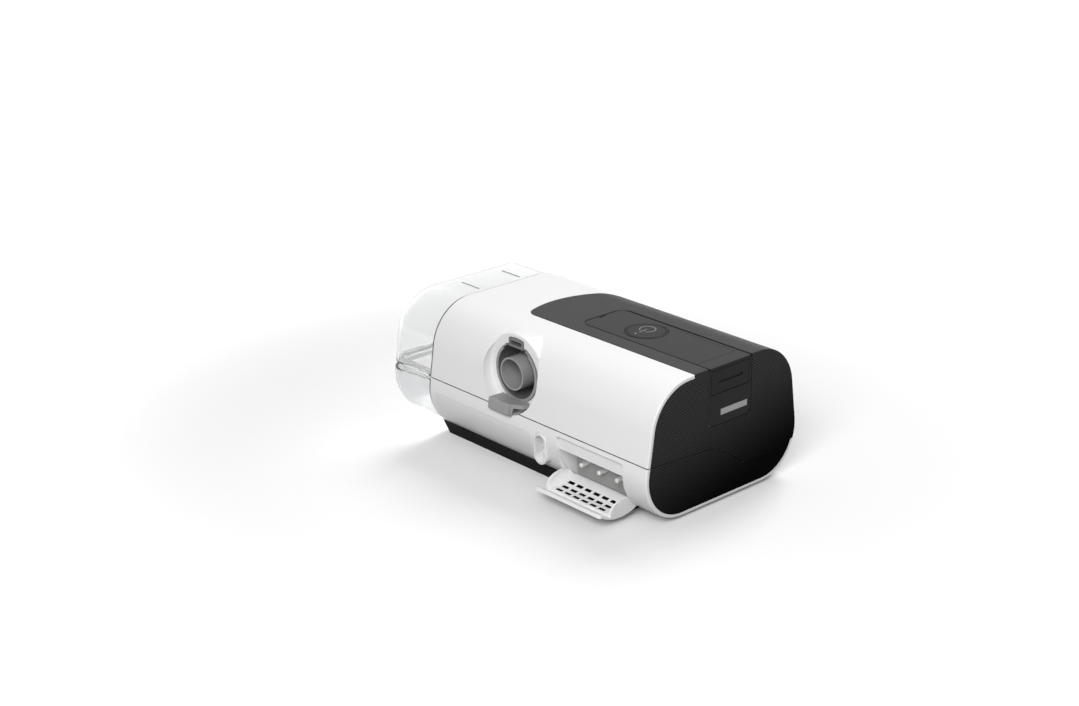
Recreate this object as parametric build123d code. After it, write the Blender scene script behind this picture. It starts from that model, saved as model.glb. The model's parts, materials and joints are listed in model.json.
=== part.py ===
from build123d import *
import math
import os

os.makedirs("parts", exist_ok=True)

# Bedside breathing-therapy machine with a clear water tub at one end.
# +X runs towards the tub, +Y towards the side with the air outlet, +Z up.
# The origin is the centre of the face that the machine stands on. Millimetres.

# ---------------------------------------------------------------- driving dimensions
length = 259.4
width = 138.5
height = 94.5
case_bottom = 2.0
side_lean = 8.45
lower_corner_r = 32.0
upper_corner_r = 33.0
tub_visible = 50.0
wall = 2.8
line_gap = 0.2
part_gap = 0.35
moving_gap = 0.3
running_gap = 0.04

parting_outlet_z = 48.0
parting_knee_y = 8.0
parting_knee_z = 40.0
parting_dip_y = (-22.0, -46.0)
parting_dip_z = (20.2, 19.2)
parting_front_z = 43.8
parting_bend_r = 12.0

fascia_t = 1.4
fascia_edge_inset = 41.25
fascia_edge_r = 62.0
fascia_corner_r = 10.0
fascia_past_panel = 43.2
fascia_front_past_panel = 23.0
end_rim = 2.6
case_edge_r = 1.0

panel_l = 116.7
panel_y0 = -24.5
panel_y1 = 15.5
panel_t = 1.2
panel_corner_r = 8.0
plate_h = 40.0
plate_corner_r = 5.0

button_from_end = 75.0
button_y = -5.15
button_r = 14.3
button_t = 1.6
button_edge_r = 0.5
button_travel = 1.0
button_skirt_t = 1.6
button_stem_r = 3.0
button_flange = 1.6
button_flange_t = 1.2
switch_cap_r = 2.2
switch_w = 10.0

display_from_end = 11.7
display_l = 45.0
display_y0 = -20.5
display_y1 = 12.0
display_t = 5.0
bracket_t = 1.6
bracket_rim = 8.0
bracket_leg_r = 2.5

door_y0 = -21.8
door_y1 = 12.5
door_h = 15.5
door_drop = 3.0
door_t = 1.2
door_groove = 2.0
door_groove_span = 22.0
card_w = 24.0
card_l = 32.0
card_t = 2.1
card_drop = 10.5
card_corner = 3.0
socket_t = 0.8

outlet_from_seam = 78.7
outlet_drop = 27.7
spigot_r = 11.2
spigot_bore_r = 10.0
spigot_rim_inset = 6.45
cup_r = 20.0
cup_wall = 2.0
cup_front_inset = 11.25
cup_proud = 1.0
cup_depth = 20.0
cup_roof = 17.0
cup_roof_t = 1.1
cup_top_wall = 0.9
recess_r = 26.5
recess_wall = 1.8
boss_foot_half = 28.0
boss_foot_r = 20.0
boss_foot_back = 15.0
boss_foot_drop = 2.8
boss_edge_r = 0.8
flap_left = 14.2
flap_right = 9.6
flap_top_drop = 18.3
flap_h = 8.0
flap_t = 2.4
flap_reach = 3.4
flap_corner_r = 2.5
flap_neck = 3.6
flap_neck_r = 3.0
flap_edge_r = 1.6
tab_left = 7.3
tab_right = 6.7
tab_top_r = 23.6
tab_depth = 10.0
tab_proud = 0.6
tab_slot_w = 10.8
tab_slot_h = 2.6
tab_slot_rise = 20.0

inlet_from_bay = 15.3
inlet_z = 26.5
inlet_w = 12.5
inlet_h = 22.2
inlet_rim = 1.8
inlet_proud = 0.55
inlet_edge_r = 0.5
inlet_depth = 7.5
inlet_body = 12.0
contact_r = 1.1
contact_l = 3.5

bay_from_end = 20.7
bay_w = 60.4
bay_z0 = 7.9
bay_z1 = 40.2
bay_corner_r = 2.0
bay_mouth_z = 31.0
bay_back_inset = 23.25
tray_wall = 1.6
face_inset = 2.6
peg_r = 1.6
peg_z = 20.3
peg_from_side = 16.4
peg_pitch = 16.3
peg_count = 3
peg_tip_inset = 10.6
filter_t = 5.0
filter_margin = 1.0
intake_r = 5.0
intake_z = 15.5

cover_hinge_inset = 13.75
cover_hinge_z = 9.5
cover_open = 65.0
cover_t = 1.2
barrel_r = 1.25
trunnion_r = 0.8
trunnion_l = 1.8
cover_gap = 0.4
cover_plate_curve = [(1.6, 2.3), (4.0, 2.2), (10.5, 0.5), (15.4, -0.8), (20.8, -0.95), (23.2, -1.0)]
cover_plate_depth = 9.0
lip_h = 2.2
lip_proud = 0.4
lip_inward = 1.9
slot_rows = 3
slot_count = 6
slot_pitch = 7.8
slot_w = 5.1
slot_h = 2.1
slot_first = 10.4
slot_row_pitch = 5.2
wing_t = 1.6
wing_outline = [(2.4, -1.0), (3.4, 5.2), (9.8, 7.2), (16.0, 6.2), (20.4, 4.2), (22.4, 1.4), (23.0, -1.2)]
wing_cove_r = 5.5
wing_cove_start = (4.0, 1.6)
wing_cove_end = (21.0, -1.5)

plinth_inset = 12.85
plinth_from_end = 29.7
plinth_from_seam = 4.7
plinth_slope = 7.5
plinth_h = 8.4
foot_r = 7.0
foot_t = 1.6
foot_inset = 31.25
foot_from_edge = 11.0

tub_docked = 44.7
tub_wall = 1.8
tub_inset = 0.5
tub_end_r = 17.0
tub_floor_z = 10.5
tub_split_z = 38.0
tub_split_rise = 3.6
lid_lip_z = 43.2
lug_l = 15.0
lug_y0 = 34.0
lug_y1 = 60.0
lug_gap = 1.6
shelf_inset = 7.5
shelf_t = 1.4
seal_inset = 3.2
seal_w = 3.2
grip_inset = 0.9
grip_w = 1.0
grip_y = 18.5
grip_from_seam = 5.3
grip_l = 19.0

partition_t = 2.4
port_r = 8.0
port_seal_w = 2.6
port_seal_t = 2.4
air_in_y = -32.0
air_out_y = 8.0
duct_t = 1.4
spout_l = 22.0

heater_w = 70.0
heater_t = 2.0
heater_gap = 3.0
heater_window = 3.0

chassis_part = 0.381
chassis_t = 2.0
chassis_post_r = 3.5
board_post_r = 2.5
board_drop = 14.5
board_l = 100.7
board_front_inset = 18.25
board_back_inset = 25.25
board_t = 1.6
power_board_z = 9.4
power_board_y0 = -30.0
can_r = 6.0
can_h = 16.0
can_y = (30.0, 12.0)
coil_r = 8.0
coil_bore_r = 4.0
coil_h = 9.0
coil_y = -8.0
driver_y = (6.0, 20.0)
driver_h = 7.0
packages = [(86, 26, 9, 9, 1.4), (70, 28, 12, 8, 1.1), (44, 28, 10, 10, 1.4), (26, 28, 14, 9, 2.4),
            (70, -34, 8, 8, 1.2), (46, -36, 16, 12, 2.6), (24, -36, 7, 11, 3.0)]

blower_from_end = 57.7
blower_y = -9.0
volute_r = 27.0
volute_growth = 9.0
volute_wall = 1.8
volute_part = 0.2328
mount_ring_h = 5.0
impeller_r = 23.0
impeller_eye_r = 11.0
blade_count = 11
blade_t = 1.0
blade_h = 7.0
blade_curve = 24.0
blade_sweep = 38.0
disc_t = 1.2
shaft_r = 2.0
bearing_r = 5.0
bearing_h = 3.4
stator_r = 17.0
stator_teeth = 9
tooth_w = 2.4
rotor_r = 7.5
magnet_gap = 0.5

screw_from_end = 12.7
screw_end_inset = 27.25
screw_front = (65.7, 23.25)
screw_back = (61.7, 28.25)
screw_r = 1.5
screw_head_r = 2.9
screw_play = 0.15
head_play = 0.4
screw_l = 12.0
boss_r = 4.0

# ---------------------------------------------------------------- derived places
end_x = -length / 2
tub_end_x = length / 2
seam_x = tub_end_x - tub_visible
deck_z = height - fascia_t
inner_deck_z = height - wall
floor_z = case_bottom + wall
skirt_z = inner_deck_z - moving_gap - button_flange_t
lean = math.radians(side_lean)

panel_x1 = end_x + panel_l
fascia_edge_y = width / 2 - fascia_edge_inset
fascia_reach_x = panel_x1 + fascia_past_panel
fascia_front_x = panel_x1 + fascia_front_past_panel
plate_bottom_z = height - plate_h
button_x = end_x + button_from_end
display_x0 = end_x + display_from_end
display_x1 = display_x0 + display_l
door_z1 = height - door_drop
door_z0 = door_z1 - door_h
card_z = height - card_drop

outlet_x = seam_x - outlet_from_seam
outlet_z = height - outlet_drop
cup_front_y = width / 2 - cup_front_inset
spigot_rim_y = width / 2 - spigot_rim_inset
cup_roof_z = outlet_z + cup_roof
flap_x0 = outlet_x - flap_right
flap_x1 = outlet_x + flap_left
flap_top_z = outlet_z - flap_top_drop
flap_lip_z = flap_top_z - flap_h
tab_x0 = outlet_x - tab_right
tab_x1 = outlet_x + tab_left

bay_x0 = end_x + bay_from_end
bay_x1 = bay_x0 + bay_w
bay_back_y = width / 2 - bay_back_inset
face_y = width / 2 - face_inset
peg_first_x = bay_x0 + peg_from_side
peg_tip_y = width / 2 - peg_tip_inset
cover_hinge_y = width / 2 - cover_hinge_inset
inlet_x = bay_x1 + inlet_from_bay
inlet_front_y = width / 2 + inlet_proud
inlet_floor_y = inlet_front_y - inlet_depth
inlet_back_y = inlet_front_y - inlet_body

plinth_half = width / 2 - plinth_inset
plinth_x0 = end_x + plinth_from_end
plinth_x1 = seam_x - plinth_from_seam
foot_y = width / 2 - foot_inset

tub_inner_x = seam_x - tub_docked
heater_x0 = tub_inner_x + heater_gap
heater_x1 = seam_x - tub_wall - heater_gap + 1.1
grip_x0 = seam_x + grip_from_seam
grip_x1 = grip_x0 + grip_l

chassis_z = chassis_part * height
board_z = height - board_drop
blower_x = end_x + blower_from_end
volute_h = volute_part * height
power_x0 = bay_x1 + 4.0
power_x1 = seam_x - 67.7
power_w = power_x1 - power_x0


# ---------------------------------------------------------------- helpers
def side_y(z, inset=0.0):
    """Half width of the case at height z, inset from the outer skin."""
    corner_y = width / 2 - lower_corner_r
    corner_z = case_bottom + lower_corner_r
    radius = lower_corner_r - inset
    if z < corner_z + radius * math.sin(lean):
        return corner_y + math.sqrt(radius ** 2 - (z - corner_z) ** 2)
    tangent_y = corner_y + radius * math.cos(lean)
    return tangent_y - (z - corner_z - radius * math.sin(lean)) * math.tan(lean)


def section(inset=0.0):
    """Cross-section of the case: leaning sides, large upper and lower corners."""
    corner_z = case_bottom + lower_corner_r
    tangent_y = width / 2 - lower_corner_r + lower_corner_r * math.cos(lean)
    tangent_z = corner_z + lower_corner_r * math.sin(lean)
    top_y = tangent_y - (height - tangent_z) * math.tan(lean)
    foot_half = tangent_y + (tangent_z - case_bottom) * math.tan(lean)
    outline = Polygon(
        (top_y, height), (foot_half, case_bottom), (-foot_half, case_bottom), (-top_y, height), align=None
    )
    outline = fillet(outline.vertices().group_by(Axis.Y)[-1], upper_corner_r)
    outline = fillet(outline.vertices().group_by(Axis.Y)[0], lower_corner_r)
    return offset(outline, -inset) if inset else outline


def run_x(sketch, x0, x1):
    """A sketch drawn in Y and Z, run along X."""
    return extrude(Plane.YZ.offset(x0) * sketch, x1 - x0, dir=(1, 0, 0))


def bar(inset, x0, x1):
    """The case's section run along X."""
    return run_x(section(inset), x0, x1)


def block(x0, x1, y0, y1, z0, z1):
    centre = Pos((x0 + x1) / 2, (y0 + y1) / 2, (z0 + z1) / 2)
    return centre * Box(x1 - x0, y1 - y0, z1 - z0)


def rod_x(x0, x1, y, z, r):
    return Pos((x0 + x1) / 2, y, z) * Rot(0, 90, 0) * Cylinder(r, x1 - x0)


def rod_y(x, y0, y1, z, r):
    return Pos(x, (y0 + y1) / 2, z) * Rot(90, 0, 0) * Cylinder(r, y1 - y0)


def rod_z(x, y, z0, z1, r):
    return Pos(x, y, (z0 + z1) / 2) * Cylinder(r, z1 - z0)


def slab(x0, x1, y0, y1, z0, z1, r):
    """A plate lying flat, with corners of radius r seen from above."""
    face = Pos((x0 + x1) / 2, (y0 + y1) / 2, z0) * RectangleRounded(x1 - x0, y1 - y0, r)
    return extrude(face, z1 - z0)


def end_slab(x0, x1, y0, y1, z0, z1, r):
    """A plate standing across X, with corners of radius r seen from the end."""
    face = Pos((y0 + y1) / 2, (z0 + z1) / 2) * RectangleRounded(y1 - y0, z1 - z0, r)
    return run_x(face, x0, x1)


def run_y(sketch, y0, y1):
    """A sketch drawn in X and Z, run along Y."""
    return extrude(Plane.XZ.offset(-y1) * sketch, y1 - y0, dir=(0, -1, 0))


def below_parting(drop=0.0):
    """Everything under the line where the two shells meet: high at the outlet side, low in front."""
    reach = width
    start = (reach, parting_outlet_z - drop)
    end = (-reach, parting_front_z - drop)
    dips = [(y, z - drop) for y, z in zip(parting_dip_y, parting_dip_z)]
    top = FilletPolyline(start, (parting_knee_y, parting_knee_z - drop), *dips, end, radius=parting_bend_r)
    sides = Polyline(end, (-reach, -reach), (reach, -reach), start)
    face = make_face(top.edges() + sides.edges())
    zone = run_x(face, -length, length)
    tongue = block(flap_x0 + flap_neck, flap_x1, cup_front_y, width, flap_lip_z - 0.8 - drop, parting_outlet_z)
    return zone - tongue


def outer_case():
    """The whole closed outer form of the case, up to the tub."""
    case = bar(0, end_x, seam_x)
    case = fillet(case.faces().sort_by(Axis.X)[0].edges(), case_edge_r)
    return fillet(case.faces().sort_by(Axis.X)[-1].edges(), case_edge_r)


# ---------------------------------------------------------------- dark fascia
def fascia_zone(grow=0.0):
    """Plan area of the dark fascia: straight rear edge, convex far edge, open to the front and end."""
    arc_x = fascia_reach_x - fascia_edge_r
    far_y = fascia_edge_y + grow
    radius = fascia_edge_r + grow
    disc = Pos(arc_x, 0) * Circle(radius)
    band = Pos(arc_x, (far_y - width) / 2) * Rectangle(4 * radius, far_y + width)
    nose = disc & band
    nose = fillet(nose.vertices().sort_by(Axis.X)[-1:], fascia_corner_r + grow)
    tail = Pos((end_x * 2 + arc_x) / 2, (far_y - width) / 2) * Rectangle(arc_x - end_x * 2, far_y + width)
    front = Pos((end_x * 2 + fascia_front_x + grow) / 2, -width * 0.7)
    front = front * Rectangle(fascia_front_x + grow - end_x * 2, width)
    return extrude(nose + tail + front, height * 1.2)


def fascia_field(grow=0.0):
    """Space that the fascia fills: a skin on top and in front, and the end face inside its pale rim."""
    depth = fascia_t + grow
    core = bar(depth, end_x + depth, seam_x + 1)
    skin = bar(-1, end_x - 1, seam_x) - core
    end_face = bar(end_rim - grow, end_x - 1, end_x + depth)
    top_field = skin & fascia_zone(grow)
    return (top_field + end_face) - below_parting(grow)


def top_panel_field(grow=0.0):
    face = slab(end_x - panel_corner_r, panel_x1 + grow, panel_y0 - grow, panel_y1 + grow,
                deck_z - grow, height + 1, panel_corner_r)
    return face


def end_plate_field(grow=0.0):
    return end_slab(end_x - 1, end_x + fascia_t + grow, panel_y0 - grow, panel_y1 + grow,
                    plate_bottom_z - grow, height + plate_corner_r, plate_corner_r)


def top_fascia():
    skin = outer_case() & fascia_field()
    return skin - top_panel_field() - end_plate_field()


def lower_end_panel():
    """Smooth dark cover on the lower part of the end."""
    face = bar(end_rim, end_x, end_x + fascia_t)
    return face & below_parting(part_gap)


def touch_panel():
    """Glass over the display, with a round hole for the button."""
    glass = slab(end_x + line_gap, panel_x1 - part_gap, panel_y0 + part_gap, panel_y1 - part_gap,
                 deck_z, deck_z + panel_t, panel_corner_r)
    square_end = block(end_x + line_gap, end_x + 2 * panel_corner_r, panel_y0 + part_gap,
                       panel_y1 - part_gap, deck_z, deck_z + panel_t)
    return glass + square_end - rod_z(button_x, button_y, deck_z - 1, height + 1, button_r + moving_gap)


def end_plate():
    """Smooth plate that carries the panel's lines down over the end, round the card door."""
    plate = end_slab(end_x + line_gap, end_x + fascia_t, panel_y0 + part_gap, panel_y1 - part_gap,
                     plate_bottom_z + part_gap, height + plate_corner_r, plate_corner_r)
    plate = plate & block(end_x, 0, -width, width, 0, deck_z - line_gap)
    opening = block(end_x - 1, end_x + 2 * fascia_t, door_y0 - moving_gap, door_y1 + moving_gap,
                    door_z0 - moving_gap, door_z1 + moving_gap)
    return plate - opening


# ---------------------------------------------------------------- card door and card
door_pivot_x = end_x + line_gap + door_t / 2
door_pivot_z = door_z0 + door_t / 2


def card_door():
    """Flap over the memory card, rounded about its lower edge, with a nail groove."""
    leaf = block(end_x + line_gap, end_x + line_gap + door_t, door_y0, door_y1, door_pivot_z, door_z1)
    roll = rod_y(door_pivot_x, door_y0, door_y1, door_pivot_z, door_t / 2)
    groove_y = (door_y0 + door_y1) / 2
    groove = block(end_x, end_x + line_gap + door_t / 2, groove_y - door_groove_span / 2,
                   groove_y + door_groove_span / 2, card_z - door_groove / 2, card_z + door_groove / 2)
    return leaf + roll - groove


def memory_card():
    y = (door_y0 + door_y1) / 2
    x0 = end_x + fascia_t + wall / 2
    card = block(x0, x0 + card_l, y - card_w / 2, y + card_w / 2, card_z - card_t / 2, card_z + card_t / 2)
    corner = card.edges().filter_by(Axis.Z).sort_by(lambda e: e.center().X + e.center().Y)[-1]
    return chamfer(corner, card_corner)


def card_socket():
    """Metal cage on the main board round the card."""
    y = (door_y0 + door_y1) / 2
    x0 = end_x + wall + line_gap
    x1 = end_x + fascia_t + wall / 2 + card_l + socket_t + moving_gap
    half = card_w / 2 + line_gap
    top = card_z + card_t / 2 + line_gap
    shell = block(x0, x1, y - half - socket_t, y + half + socket_t, board_z + board_t, top + socket_t)
    room = block(x0 - 1, x1 - socket_t, y - half, y + half, card_z - card_t / 2, top)
    return shell - room


# ---------------------------------------------------------------- outlet
def outlet_ring_y():
    return cup_front_y - cup_depth


def cup_outline(radius, roof_z):
    """Round outline of the cup, with a flat roof under the tab."""
    low = outlet_z - 2 * cup_r
    band = Pos(outlet_x, (low + roof_z) / 2) * Rectangle(4 * cup_r, roof_z - low)
    return Pos(outlet_x, outlet_z) * Circle(radius) & band


def tab_outline(grow=0.0):
    """Outline of the heater socket's tab: straight sides, top rounded about the outlet."""
    low = cup_roof_z - grow
    strip = Pos((tab_x0 + tab_x1) / 2, (low + height) / 2) * Rectangle(tab_x1 - tab_x0 + 2 * grow, height - low)
    return strip & (Pos(outlet_x, outlet_z) * Circle(tab_top_r + grow))


def outlet_boss():
    """Raised round seat: where the shell curves away at the top, its flat face stands out of it."""
    front = Plane(origin=(outlet_x, cup_front_y, outlet_z), z_dir=(0, 1, 0))
    foot = Plane(origin=(outlet_x, cup_front_y - boss_foot_back, outlet_z - boss_foot_drop), z_dir=(0, 1, 0))
    square = RectangleRounded(2 * boss_foot_half, 2 * boss_foot_half, boss_foot_r)
    boss = loft([foot * square, front * Circle(recess_r)])
    return fillet(boss.faces().sort_by(Axis.Y)[-1].edges(), boss_edge_r)


def outlet_housing():
    """Wall behind the outlet's seat: a flat ring, its rim up to the skin, and a well for the cup."""
    back = outlet_ring_y() - line_gap - recess_wall
    grow = moving_gap + recess_wall
    well = run_y(cup_outline(cup_r + grow, cup_roof_z + cup_roof_t + grow), back, cup_front_y)
    seat = rod_y(outlet_x, cup_front_y - recess_wall, width / 2, outlet_z, recess_r + recess_wall)
    tab_wall = run_y(tab_outline(grow), cup_front_y - tab_depth - recess_wall, cup_front_y)
    throat = rod_y(outlet_x, back - 1, back + 4, outlet_z, spigot_r + 2)
    return well + seat + tab_wall - throat


def outlet_recess():
    """Room cut for the connector: the recess in front of the seat, the well and the tab's notch."""
    recess = rod_y(outlet_x, cup_front_y, width, outlet_z, recess_r)
    roof_z = cup_roof_z + cup_roof_t + moving_gap
    well = run_y(cup_outline(cup_r + moving_gap, roof_z), outlet_ring_y() - line_gap, width)
    notch = run_y(tab_outline(moving_gap), cup_front_y - tab_depth, width)
    return recess + well + notch


def outlet_flap():
    """Thumb flap: a shelf from the cup out over the skin, turned down at its lip."""
    lip_y = side_y(flap_lip_z) + flap_reach
    skin_y = side_y(flap_lip_z) + line_gap * 3
    root_y = cup_front_y + moving_gap
    bend_y = side_y(flap_top_z - flap_t) + line_gap * 3
    outside = FilletPolyline(
        (root_y, flap_top_z), (side_y(flap_top_z) + flap_reach, flap_top_z + 0.6), (lip_y, flap_lip_z),
        (skin_y, flap_lip_z), radius=flap_edge_r
    )
    inside = Polyline((skin_y, flap_lip_z), (bend_y, flap_top_z - flap_t), (root_y, flap_top_z - flap_t),
                      (root_y, flap_top_z))
    flap = run_x(make_face(outside.edges() + inside.edges()), flap_x0 - flap_neck, flap_x1)
    lip_x0 = flap_x0 + flap_neck
    high_z = flap_top_z + 2 * flap_corner_r
    front = Pos((lip_x0 + flap_x1) / 2, (flap_lip_z + high_z) / 2)
    front = front * RectangleRounded(flap_x1 - lip_x0, high_z - flap_lip_z, flap_corner_r)
    neck = FilletPolyline(
        (flap_x1, cup_front_y), (flap_x0 - flap_neck, cup_front_y), (flap_x0 - flap_neck, skin_y - 5.0),
        (lip_x0, skin_y), (lip_x0, width), radius=flap_neck_r
    )
    sides = Polyline((lip_x0, width), (flap_x1, width), (flap_x1, cup_front_y))
    plan = extrude(make_face(neck.edges() + sides.edges()), height)
    shelf = flap & block(flap_x0 - flap_neck, flap_x1, 0, skin_y + 1.0, 0, height)
    return (flap & run_y(front, cup_front_y, width) & plan) + (shelf & plan)


def outlet_connector():
    """Removable grey connector: round cup, hose spigot, heater tab and thumb flap."""
    back = outlet_ring_y()
    rim_y = cup_front_y + cup_proud
    cup = run_y(cup_outline(cup_r, cup_roof_z + cup_roof_t), back, cup_front_y)
    cup += run_y(cup_outline(cup_r, cup_roof_z), cup_front_y, rim_y)
    tab = run_y(tab_outline(), cup_front_y - tab_depth + moving_gap, cup_front_y + tab_proud)
    slot_x = (tab_x0 + tab_x1) / 2
    slot_z = outlet_z + tab_slot_rise
    tab -= block(slot_x - tab_slot_w / 2, slot_x + tab_slot_w / 2, cup_front_y - tab_depth + cup_wall, width,
                 slot_z - tab_slot_h / 2, slot_z + tab_slot_h / 2)
    hollow = run_y(cup_outline(cup_r - cup_wall, cup_roof_z), back + cup_wall, width)
    corner_z = outlet_z + cup_r - 3 * cup_wall
    corners = cup_outline(cup_r - cup_top_wall, cup_roof_z) - cup_outline(cup_r, corner_z)
    hollow += run_y(corners, back + cup_wall, width)
    spigot = rod_y(outlet_x, back - 1.6, spigot_rim_y, outlet_z, spigot_r)
    bore = rod_y(outlet_x, back - 4, width, outlet_z, spigot_bore_r)
    return cup + outlet_flap() - hollow + tab + spigot - bore


# ---------------------------------------------------------------- power inlet
def inlet_prism(inset, y0, y1):
    face = Pos(inlet_x, inlet_z) * SlotOverall(inlet_h - 2 * inset, inlet_w - 2 * inset, rotation=90)
    return run_y(face, y0, y1)


def power_inlet():
    """Low-voltage socket: oblong rim with an upright front, standing out of the curved skin."""
    plug = inlet_prism(line_gap, inlet_back_y, inlet_front_y)
    plug = fillet(plug.faces().sort_by(Axis.Y)[-1].edges(), inlet_edge_r)
    return plug - inlet_prism(inlet_rim, inlet_floor_y, width)


def inlet_contacts():
    pitch = (inlet_h - inlet_w) / 2
    pins = []
    for step in (-1, 0, 1):
        pins.append(rod_y(inlet_x, inlet_floor_y, inlet_floor_y + contact_l, inlet_z + step * pitch, contact_r))
    return Compound(children=pins)


# ---------------------------------------------------------------- filter bay
def bay_opening(gap, z0, y0, y1):
    """Prism that fills the bay's opening above z0, with round upper corners."""
    w = bay_w - 2 * gap
    top = bay_z1 - gap
    low = z0 - 2 * bay_corner_r
    face = Pos(bay_x0 + bay_w / 2, (low + top) / 2) * RectangleRounded(w, top - low, bay_corner_r)
    return run_y(face, y0, y1) & block(bay_x0, bay_x1, y0, y1, z0, top)


def filter_tray():
    """Moulded tray behind the filter opening: inner pocket, three pegs and a face over the mouth."""
    body = block(bay_x0 - tray_wall, bay_x1 + tray_wall, bay_back_y - tray_wall, width,
                 bay_z0 - tray_wall, bay_z1 + tray_wall)
    body = body & bar(wall + line_gap, end_x, seam_x)
    body += bay_opening(line_gap, bay_mouth_z, face_y - wall - tray_wall, face_y)
    body -= block(bay_x0, bay_x1, bay_back_y, width, bay_z0, bay_mouth_z)
    body -= block(bay_x0 + tray_wall, bay_x1 - tray_wall, bay_back_y, face_y - tray_wall,
                  bay_mouth_z + tray_wall, height)
    for step in range(peg_count):
        peg_x = peg_first_x + step * peg_pitch
        peg = rod_y(peg_x, bay_back_y - 1, peg_tip_y, peg_z, peg_r)
        body += fillet(peg.faces().sort_by(Axis.Y)[-1].edges(), peg_r * 0.5)
        body -= rod_y(peg_x - peg_pitch / 2, bay_back_y - 3 * tray_wall, bay_back_y + 1, intake_z, intake_r)
    return body


def air_filter():
    """Fibre pad over the intake holes, pierced by the pegs."""
    low_y = bay_back_y + line_gap
    pad = block(bay_x0 + filter_margin, bay_x1 - filter_margin, low_y, low_y + filter_t,
                bay_z0 + filter_margin, bay_mouth_z - filter_margin)
    for step in range(peg_count):
        pad -= rod_y(peg_first_x + step * peg_pitch, 0, width, peg_z, peg_r + line_gap)
    return pad


def cover_wing():
    """Side wall of the filter cover with a hollow cove down to the plate, drawn along the chord."""
    wing = run_x(make_face(Polyline(*wing_outline, close=True)), 0, wing_t + wing_cove_r)
    run = wing_cove_end[0] - wing_cove_start[0]
    fall = math.degrees(math.atan2(wing_cove_end[1] - wing_cove_start[1], run))
    cove = Pos(wing_t + wing_cove_r, wing_cove_start[0], wing_cove_start[1]) * Rot(fall, 0, 0)
    rod = Pos(0, 0, wing_cove_r) * Rot(90, 0, 0) * Cylinder(wing_cove_r, 8 * wing_cove_r)
    room = Pos(0, 0, 2 * wing_cove_r) * Box(2 * wing_cove_r, 8 * wing_cove_r, 2 * wing_cove_r)
    return wing - cove * (rod + room)


def filter_cover():
    """Curved flap that closes the filter bay, drawn shut and then swung open about its lower edge."""
    x0 = bay_x0 + cover_gap
    x1 = bay_x1 - cover_gap
    middle_x = (x0 + x1) / 2
    top_z = bay_z1 - cover_gap
    chord = Pos(0, cover_hinge_y, cover_hinge_z) * Rot(cover_open, 0, 0)
    form = bar(line_gap, x0, x1) & bay_opening(cover_gap, cover_hinge_z, 0, width)
    start, end = cover_plate_curve[0], cover_plate_curve[-1]
    under = Polyline(end, (end[0], -cover_plate_depth), (start[0], -cover_plate_depth), start)
    plate = run_x(make_face(Spline(*cover_plate_curve).edges() + under.edges()), x0, x1)
    cover = (form - bar(line_gap + cover_t, x0 - 1, x1 + 1)) + (form & chord * plate)
    lip_z = top_z - lip_h
    cover += bay_opening(cover_gap, lip_z, side_y(lip_z) - lip_inward, side_y(lip_z) + lip_proud)
    cover += rod_x(x0, x1, cover_hinge_y, cover_hinge_z, barrel_r)
    cover += rod_x(x0 - trunnion_l, x1 + trunnion_l, cover_hinge_y, cover_hinge_z, trunnion_r)
    cover += chord * Pos(x0, 0, 0) * cover_wing()
    cover += chord * Pos(x1, 0, 0) * mirror(cover_wing(), about=Plane.YZ)
    for row in range(slot_rows):
        for step in range(slot_count):
            slot_x = middle_x + (step - (slot_count - 1) / 2) * slot_pitch
            reach = slot_first + row * slot_row_pitch
            cover -= chord * Pos(slot_x, reach, 0) * Box(slot_w, slot_h, 2 * cover_plate_depth)
    hinge_line = Pos(0, cover_hinge_y, cover_hinge_z)
    return hinge_line * Rot(-cover_open, 0, 0) * hinge_line.inverse() * cover


# ---------------------------------------------------------------- shells and base
screw_places = [
    (end_x + screw_from_end, screw_end_inset - width / 2),
    (end_x + screw_from_end, width / 2 - screw_end_inset),
    (seam_x - screw_front[0], screw_front[1] - width / 2), (seam_x - screw_back[0], width / 2 - screw_back[1])
]


def shell_pair():
    """Both shells as one hollow before they are parted, with every opening cut."""
    hollow = bar(wall, end_x + wall, seam_x + 1)
    case = outer_case() + outlet_boss() - hollow
    case += outlet_housing() & bar(0, end_x, seam_x)
    case -= outlet_recess()
    case -= inlet_prism(0, 0, width)
    case -= bay_opening(0, bay_z0, bay_back_y, width)
    trunnion = trunnion_l + cover_gap
    case -= rod_x(bay_x0 - trunnion, bay_x1 + trunnion, cover_hinge_y, cover_hinge_z,
                  trunnion_r + running_gap)
    return case


def upper_shell(case):
    shell = case - below_parting() - fascia_field(line_gap)
    shell -= rod_z(button_x, button_y, inner_deck_z - 1, height, button_r + 2 * moving_gap)
    shell -= block(display_x0, display_x1, display_y0, display_y1, inner_deck_z - 1, height)
    card_y = (door_y0 + door_y1) / 2
    shell -= block(end_x - 1, end_x + 2 * wall, card_y - card_w / 2 - 0.5, card_y + card_w / 2 + 0.5,
                   card_z - card_t / 2 - 0.5, card_z + card_t / 2 + 0.5)
    return shell


def lower_case(case):
    shell = case & below_parting(part_gap)
    shell -= bar(end_rim - line_gap, end_x - 1, end_x + fascia_t + line_gap)
    for x, y in screw_places:
        shell += rod_z(x, y, floor_z - 1, chassis_z, boss_r) & bar(wall / 2, end_x, seam_x)
    for x, y in screw_places:
        shell -= rod_z(x, y, case_bottom - 2, chassis_z + 1, screw_r + screw_play)
        shell -= rod_z(x, y, case_bottom - 2, chassis_z - screw_l, screw_head_r + head_play)
    return shell


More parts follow.
